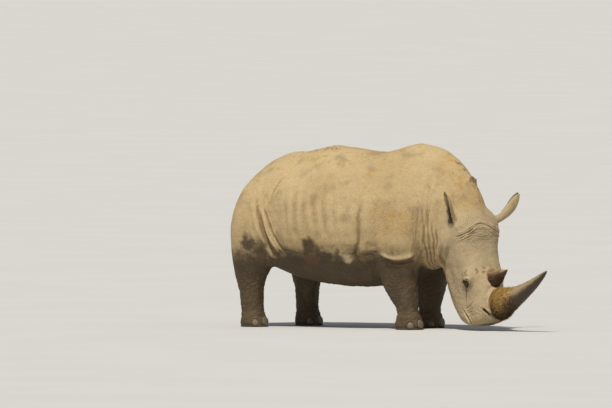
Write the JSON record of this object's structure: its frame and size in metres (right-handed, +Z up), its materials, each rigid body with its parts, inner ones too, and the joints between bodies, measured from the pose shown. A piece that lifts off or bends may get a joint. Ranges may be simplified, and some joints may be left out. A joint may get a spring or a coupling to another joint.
{
  "type": "white rhinoceros, life-size model",
  "caption": "Life-size white rhinoceros standing with its head down to graze, turned to its right: hump, two horns, long ears, thick legs.",
  "frame": {"origin": "on the floor, under the middle of the model's overall box", "axes": "+X the way the animal faces, +Y to its left, +Z up"},
  "size_m": [3.6118, 1.155, 1.7609],
  "materials": {
    "hide": "bare hide, dry, dusted with pale tan mud",
    "head_hide": "bare hide, dry, greyer tan",
    "horn": "fibrous horn, shaggy and ochre at the base, smooth grey at the tip",
    "horn_worn": "worn horn, dark and rusty in front",
    "eye": "wet, dark brown",
    "nail": "worn grey horn"
  },
  "bodies": {
    "root": {"trunk": "hide", "neck": "hide", "head": "head_hide", "tail": "hide", "leg_front_right": "hide", "leg_front_left": "hide", "leg_hind_right": "hide", "leg_hind_left": "hide", "ear_right": "head_hide", "ear_left": "head_hide", "eye_right": "eye", "eye_left": "eye", "horn_front": "horn", "horn_rear": "horn_worn", "nail_front_right_outer": "nail", "nail_front_right_middle": "nail", "nail_front_right_inner": "nail", "nail_front_left_outer": "nail", "nail_front_left_middle": "nail", "nail_front_left_inner": "nail", "nail_hind_right_outer": "nail", "nail_hind_right_middle": "nail", "nail_hind_right_inner": "nail", "nail_hind_left_outer": "nail", "nail_hind_left_middle": "nail", "nail_hind_left_inner": "nail"}
  },
  "joints": []
}
